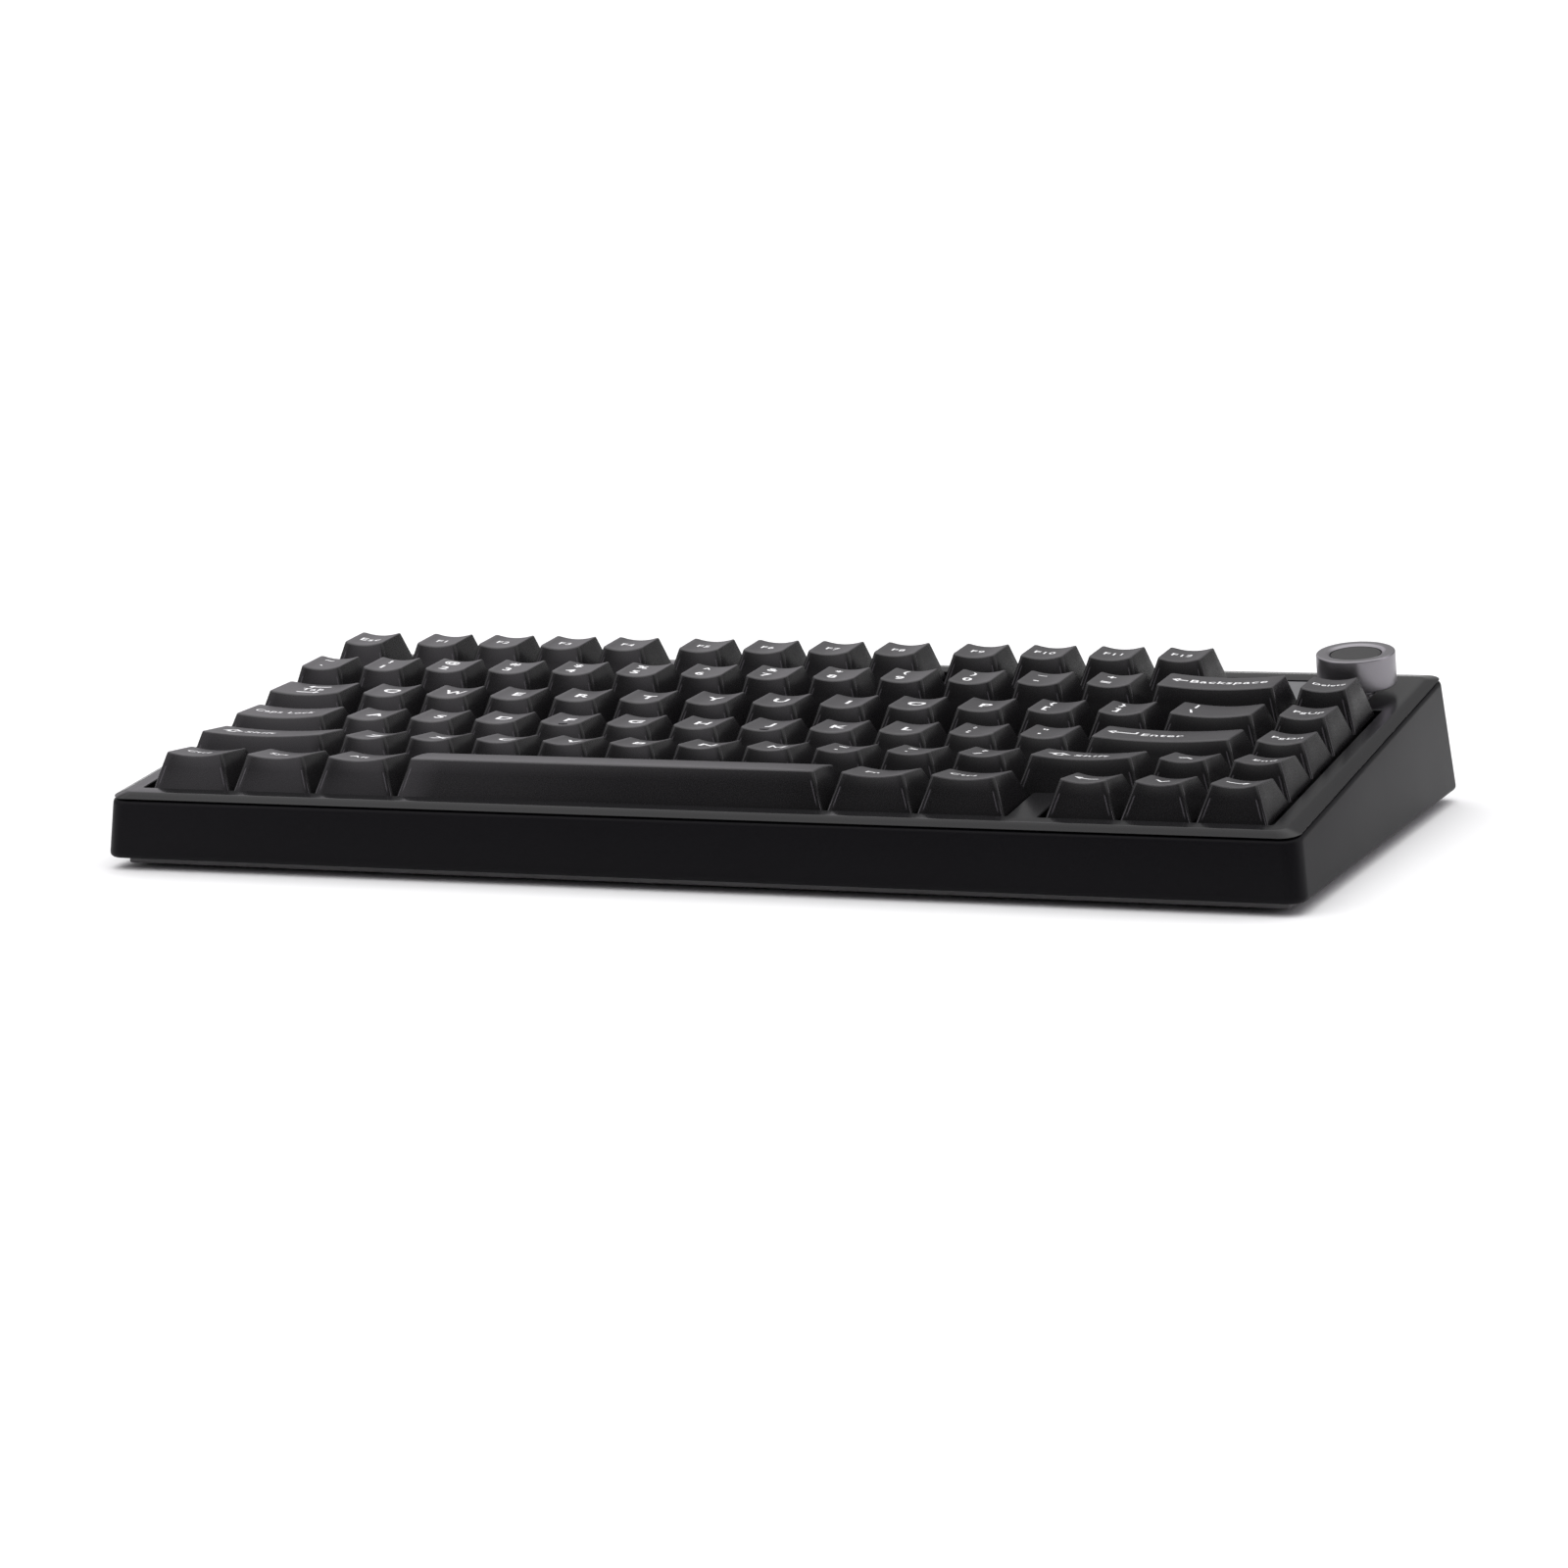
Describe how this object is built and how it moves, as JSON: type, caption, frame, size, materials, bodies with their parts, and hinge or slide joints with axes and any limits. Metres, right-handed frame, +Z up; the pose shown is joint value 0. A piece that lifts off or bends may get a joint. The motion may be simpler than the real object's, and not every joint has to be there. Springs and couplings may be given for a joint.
{
  "type": "mechanical keyboard",
  "caption": "Compact wedge-shaped mechanical keyboard with sculpted keycaps, a separate function row, an arrow cluster and a turning, pressing volume knob.",
  "frame": {"origin": "on the table, under the middle of the case, keyboard resting with its tilt feet folded", "axes": "+X to the right along the space bar, +Y away from the typist towards the function row, +Z up"},
  "size_m": [0.3258, 0.1438, 0.0442],
  "materials": {
    "top_frame": "satin black anodised, fine blasted grain",
    "lower_shell": "fine spark-textured black plastic",
    "keycap": "fine matte tops, smoother satin skirts",
    "legend": "white legends moulded through the cap",
    "panel": "smooth satin grey",
    "plate": "black powder coat on steel",
    "switch_nylon": "satin nylon",
    "foam": "matte closed-cell foam",
    "board": "solder-masked glass-epoxy board",
    "steel": "stamped steel",
    "knob_metal": "satin gun-metal anodised, bright turned edges",
    "knob_inlay": "dark satin disc",
    "rubber": "matte rubber",
    "nylon": "satin black plastic",
    "battery_wrap": "shrink-wrapped pack"
  },
  "bodies": {
    "case": {"battery": "battery_wrap", "bottom_case": "lower_shell", "case_foam": "foam", "circuit_board": "board", "encoder_body": "steel", "gasket": "foam", "indicator_panel": "panel", "rubber_foot_front_left": "rubber", "rubber_foot_front_right": "rubber", "rubber_foot_rear_left": "rubber", "rubber_foot_rear_right": "rubber", "switch_housings": "switch_nylon", "switch_plate": "plate", "top_case": "top_frame", "usb_board": "board", "usb_c_port": "steel"},
    "key_arrow_down": {"key_arrow_down": "keycap"},
    "key_arrow_left": {"key_arrow_left": "keycap"},
    "key_arrow_right": {"key_arrow_right": "keycap"},
    "key_arrow_up": {"key_arrow_up": "keycap"},
    "key_backslash": {"key_backslash": "keycap"},
    "key_backspace": {"key_backspace": "keycap"},
    "key_caps_lock": {"key_caps_lock": "keycap"},
    "key_column_0": {"key_column_0": "keycap"},
    "key_column_1": {"key_column_1": "keycap"},
    "key_column_2": {"key_column_2": "keycap"},
    "key_column_3": {"key_column_3": "keycap"},
    "key_column_4": {"key_column_4": "keycap"},
    "key_column_5": {"key_column_5": "keycap"},
    "key_column_6": {"key_column_6": "keycap"},
    "key_column_7": {"key_column_7": "keycap"},
    "key_column_8": {"key_column_8": "keycap"},
    "key_column_9": {"key_column_9": "keycap"},
    "key_column_equals": {"key_column_equals": "keycap"},
    "key_column_minus": {"key_column_minus": "keycap"},
    "key_delete": {"key_delete": "keycap"},
    "key_end": {"key_end": "keycap"},
    "key_enter": {"key_enter": "keycap"},
    "key_escape": {"key_escape": "keycap"},
    "key_fn": {"key_fn": "keycap"},
    "key_functions_1_to_4": {"key_functions_1_to_4": "keycap"},
    "key_functions_5_to_8": {"key_functions_5_to_8": "keycap"},
    "key_functions_9_to_12": {"key_functions_9_to_12": "keycap"},
    "key_left_alt": {"key_left_alt": "keycap"},
    "key_left_ctrl": {"key_left_ctrl": "keycap"},
    "key_left_shift": {"key_left_shift": "keycap"},
    "key_left_win": {"key_left_win": "keycap"},
    "key_page_down": {"key_page_down": "keycap"},
    "key_page_up": {"key_page_up": "keycap"},
    "key_right_ctrl": {"key_right_ctrl": "keycap"},
    "key_right_shift": {"key_right_shift": "keycap"},
    "key_space": {"key_space": "keycap"},
    "key_tab": {"key_tab": "keycap"},
    "knob_plunger": {"encoder_shaft": "steel"},
    "knob": {"knob_ring": "knob_metal", "knob_inlay": "knob_inlay"},
    "mode_slider": {"mode_slider": "nylon"},
    "system_slider": {"system_slider": "nylon"},
    "tilt_foot_left": {"tilt_foot_left": "nylon"},
    "tilt_foot_right": {"tilt_foot_right": "nylon"}
  },
  "joints": [
    {"name": "key_arrow_down_press", "type": "slide", "parent": "case", "child": "key_arrow_down", "axis": [0, 0.1045, -0.9945], "range_m": [0, 0.004], "stiffness_N_per_m": 60, "springref_m": -0.006},
    {"name": "key_arrow_left_press", "type": "slide", "parent": "case", "child": "key_arrow_left", "axis": [0, 0.1045, -0.9945], "range_m": [0, 0.004], "stiffness_N_per_m": 60, "springref_m": -0.006},
    {"name": "key_arrow_right_press", "type": "slide", "parent": "case", "child": "key_arrow_right", "axis": [0, 0.1045, -0.9945], "range_m": [0, 0.004], "stiffness_N_per_m": 60, "springref_m": -0.006},
    {"name": "key_arrow_up_press", "type": "slide", "parent": "case", "child": "key_arrow_up", "axis": [0, 0.1045, -0.9945], "range_m": [0, 0.004], "stiffness_N_per_m": 60, "springref_m": -0.006},
    {"name": "key_backslash_press", "type": "slide", "parent": "case", "child": "key_backslash", "axis": [0, 0.1045, -0.9945], "range_m": [0, 0.004], "stiffness_N_per_m": 60, "springref_m": -0.006},
    {"name": "key_backspace_press", "type": "slide", "parent": "case", "child": "key_backspace", "axis": [0, 0.1045, -0.9945], "range_m": [0, 0.004], "stiffness_N_per_m": 60, "springref_m": -0.006},
    {"name": "key_caps_lock_press", "type": "slide", "parent": "case", "child": "key_caps_lock", "axis": [0, 0.1045, -0.9945], "range_m": [0, 0.004], "stiffness_N_per_m": 60, "springref_m": -0.006},
    {"name": "key_column_0_press", "type": "slide", "parent": "case", "child": "key_column_0", "axis": [0, 0.1045, -0.9945], "range_m": [0, 0.004], "stiffness_N_per_m": 240, "springref_m": -0.006},
    {"name": "key_column_1_press", "type": "slide", "parent": "case", "child": "key_column_1", "axis": [0, 0.1045, -0.9945], "range_m": [0, 0.004], "stiffness_N_per_m": 300, "springref_m": -0.006},
    {"name": "key_column_2_press", "type": "slide", "parent": "case", "child": "key_column_2", "axis": [0, 0.1045, -0.9945], "range_m": [0, 0.004], "stiffness_N_per_m": 240, "springref_m": -0.006},
    {"name": "key_column_3_press", "type": "slide", "parent": "case", "child": "key_column_3", "axis": [0, 0.1045, -0.9945], "range_m": [0, 0.004], "stiffness_N_per_m": 240, "springref_m": -0.006},
    {"name": "key_column_4_press", "type": "slide", "parent": "case", "child": "key_column_4", "axis": [0, 0.1045, -0.9945], "range_m": [0, 0.004], "stiffness_N_per_m": 240, "springref_m": -0.006},
    {"name": "key_column_5_press", "type": "slide", "parent": "case", "child": "key_column_5", "axis": [0, 0.1045, -0.9945], "range_m": [0, 0.004], "stiffness_N_per_m": 240, "springref_m": -0.006},
    {"name": "key_column_6_press", "type": "slide", "parent": "case", "child": "key_column_6", "axis": [0, 0.1045, -0.9945], "range_m": [0, 0.004], "stiffness_N_per_m": 240, "springref_m": -0.006},
    {"name": "key_column_7_press", "type": "slide", "parent": "case", "child": "key_column_7", "axis": [0, 0.1045, -0.9945], "range_m": [0, 0.004], "stiffness_N_per_m": 240, "springref_m": -0.006},
    {"name": "key_column_8_press", "type": "slide", "parent": "case", "child": "key_column_8", "axis": [0, 0.1045, -0.9945], "range_m": [0, 0.004], "stiffness_N_per_m": 240, "springref_m": -0.006},
    {"name": "key_column_9_press", "type": "slide", "parent": "case", "child": "key_column_9", "axis": [0, 0.1045, -0.9945], "range_m": [0, 0.004], "stiffness_N_per_m": 240, "springref_m": -0.006},
    {"name": "key_column_equals_press", "type": "slide", "parent": "case", "child": "key_column_equals", "axis": [0, 0.1045, -0.9945], "range_m": [0, 0.004], "stiffness_N_per_m": 120, "springref_m": -0.006},
    {"name": "key_column_minus_press", "type": "slide", "parent": "case", "child": "key_column_minus", "axis": [0, 0.1045, -0.9945], "range_m": [0, 0.004], "stiffness_N_per_m": 180, "springref_m": -0.006},
    {"name": "key_delete_press", "type": "slide", "parent": "case", "child": "key_delete", "axis": [0, 0.1045, -0.9945], "range_m": [0, 0.004], "stiffness_N_per_m": 60, "springref_m": -0.006},
    {"name": "key_end_press", "type": "slide", "parent": "case", "child": "key_end", "axis": [0, 0.1045, -0.9945], "range_m": [0, 0.004], "stiffness_N_per_m": 60, "springref_m": -0.006},
    {"name": "key_enter_press", "type": "slide", "parent": "case", "child": "key_enter", "axis": [0, 0.1045, -0.9945], "range_m": [0, 0.004], "stiffness_N_per_m": 60, "springref_m": -0.006},
    {"name": "key_escape_press", "type": "slide", "parent": "case", "child": "key_escape", "axis": [0, 0.1045, -0.9945], "range_m": [0, 0.004], "stiffness_N_per_m": 60, "springref_m": -0.006},
    {"name": "key_fn_press", "type": "slide", "parent": "case", "child": "key_fn", "axis": [0, 0.1045, -0.9945], "range_m": [0, 0.004], "stiffness_N_per_m": 60, "springref_m": -0.006},
    {"name": "key_functions_1_to_4_press", "type": "slide", "parent": "case", "child": "key_functions_1_to_4", "axis": [0, 0.1045, -0.9945], "range_m": [0, 0.004], "stiffness_N_per_m": 240, "springref_m": -0.006},
    {"name": "key_functions_5_to_8_press", "type": "slide", "parent": "case", "child": "key_functions_5_to_8", "axis": [0, 0.1045, -0.9945], "range_m": [0, 0.004], "stiffness_N_per_m": 240, "springref_m": -0.006},
    {"name": "key_functions_9_to_12_press", "type": "slide", "parent": "case", "child": "key_functions_9_to_12", "axis": [0, 0.1045, -0.9945], "range_m": [0, 0.004], "stiffness_N_per_m": 240, "springref_m": -0.006},
    {"name": "key_left_alt_press", "type": "slide", "parent": "case", "child": "key_left_alt", "axis": [0, 0.1045, -0.9945], "range_m": [0, 0.004], "stiffness_N_per_m": 60, "springref_m": -0.006},
    {"name": "key_left_ctrl_press", "type": "slide", "parent": "case", "child": "key_left_ctrl", "axis": [0, 0.1045, -0.9945], "range_m": [0, 0.004], "stiffness_N_per_m": 60, "springref_m": -0.006},
    {"name": "key_left_shift_press", "type": "slide", "parent": "case", "child": "key_left_shift", "axis": [0, 0.1045, -0.9945], "range_m": [0, 0.004], "stiffness_N_per_m": 60, "springref_m": -0.006},
    {"name": "key_left_win_press", "type": "slide", "parent": "case", "child": "key_left_win", "axis": [0, 0.1045, -0.9945], "range_m": [0, 0.004], "stiffness_N_per_m": 60, "springref_m": -0.006},
    {"name": "key_page_down_press", "type": "slide", "parent": "case", "child": "key_page_down", "axis": [0, 0.1045, -0.9945], "range_m": [0, 0.004], "stiffness_N_per_m": 60, "springref_m": -0.006},
    {"name": "key_page_up_press", "type": "slide", "parent": "case", "child": "key_page_up", "axis": [0, 0.1045, -0.9945], "range_m": [0, 0.004], "stiffness_N_per_m": 60, "springref_m": -0.006},
    {"name": "key_right_ctrl_press", "type": "slide", "parent": "case", "child": "key_right_ctrl", "axis": [0, 0.1045, -0.9945], "range_m": [0, 0.004], "stiffness_N_per_m": 60, "springref_m": -0.006},
    {"name": "key_right_shift_press", "type": "slide", "parent": "case", "child": "key_right_shift", "axis": [0, 0.1045, -0.9945], "range_m": [0, 0.004], "stiffness_N_per_m": 60, "springref_m": -0.006},
    {"name": "key_space_press", "type": "slide", "parent": "case", "child": "key_space", "axis": [0, 0.1045, -0.9945], "range_m": [0, 0.004], "stiffness_N_per_m": 60, "springref_m": -0.006},
    {"name": "key_tab_press", "type": "slide", "parent": "case", "child": "key_tab", "axis": [0, 0.1045, -0.9945], "range_m": [0, 0.004], "stiffness_N_per_m": 60, "springref_m": -0.006},
    {"name": "knob_press", "type": "slide", "parent": "case", "child": "knob_plunger", "axis": [0, 0.1045, -0.9945], "range_m": [0, 0.0006], "stiffness_N_per_m": 1500, "springref_m": -0.002},
    {"name": "knob_turn", "type": "hinge", "parent": "knob_plunger", "child": "knob", "pos_m": [0.14288, 0.04668, 0.03944], "axis": [0, -0.1045, 0.9945], "continuous": true},
    {"name": "mode_slider_slide", "type": "slide", "parent": "case", "child": "mode_slider", "axis": [1, 0, 0], "range_m": [-0.003, 0.003]},
    {"name": "system_slider_slide", "type": "slide", "parent": "case", "child": "system_slider", "axis": [1, 0, 0], "range_m": [-0.002, 0.002]},
    {"name": "tilt_foot_left_flip", "type": "hinge", "parent": "case", "child": "tilt_foot_left", "pos_m": [-0.103, 0.044, 0.0033], "axis": [-1, 0, 0], "range_deg": [0, 84]},
    {"name": "tilt_foot_right_flip", "type": "hinge", "parent": "case", "child": "tilt_foot_right", "pos_m": [0.103, 0.044, 0.0033], "axis": [-1, 0, 0], "range_deg": [0, 84]}
  ]
}
